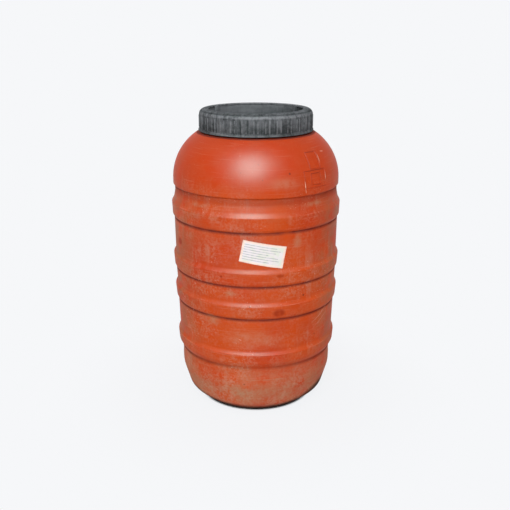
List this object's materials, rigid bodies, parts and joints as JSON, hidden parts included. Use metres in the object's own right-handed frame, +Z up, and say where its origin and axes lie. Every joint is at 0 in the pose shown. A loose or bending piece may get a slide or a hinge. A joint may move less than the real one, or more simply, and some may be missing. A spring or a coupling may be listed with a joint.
{
  "type": "wide-mouth storage drum",
  "caption": "Tall hooped plastic drum with a domed shoulder, a wide neck, a gasketed dished lid and a black screw ring.",
  "frame": {"origin": "centre of the base, on the floor", "axes": "+Z up along the drum's axis, -Y the side with the label"},
  "size_m": [0.5855, 0.5856, 1.0335],
  "materials": {
    "drum_plastic": "satin orange-red polyethylene, dusty and scuffed",
    "ring_plastic": "weathered black polyethylene, greyed by dust",
    "lid_plastic": "weathered black polyethylene, greyed by dust",
    "gasket_rubber": "soft black sealing foam",
    "label_paper": "white paper, ruled, slightly yellowed"
  },
  "bodies": {
    "barrel": {"drum_body": "drum_plastic", "label": "label_paper"},
    "lid": {"inner_lid": "lid_plastic", "gasket": "gasket_rubber"},
    "ring": {"screw_ring": "ring_plastic"}
  },
  "joints": [
    {"name": "closure_lift", "type": "slide", "parent": "barrel", "child": "lid", "axis": [0, 0, 1], "range_m": [0, 0.065]},
    {"name": "ring_turn", "type": "hinge", "parent": "lid", "child": "ring", "pos_m": [0, 0, 0.99], "axis": [0, 0, 1], "range_deg": [0, 1170]}
  ],
  "couplings": [
    {"joint": "closure_lift", "follows": "ring_turn", "m_per_rad": 0.0031831}
  ]
}
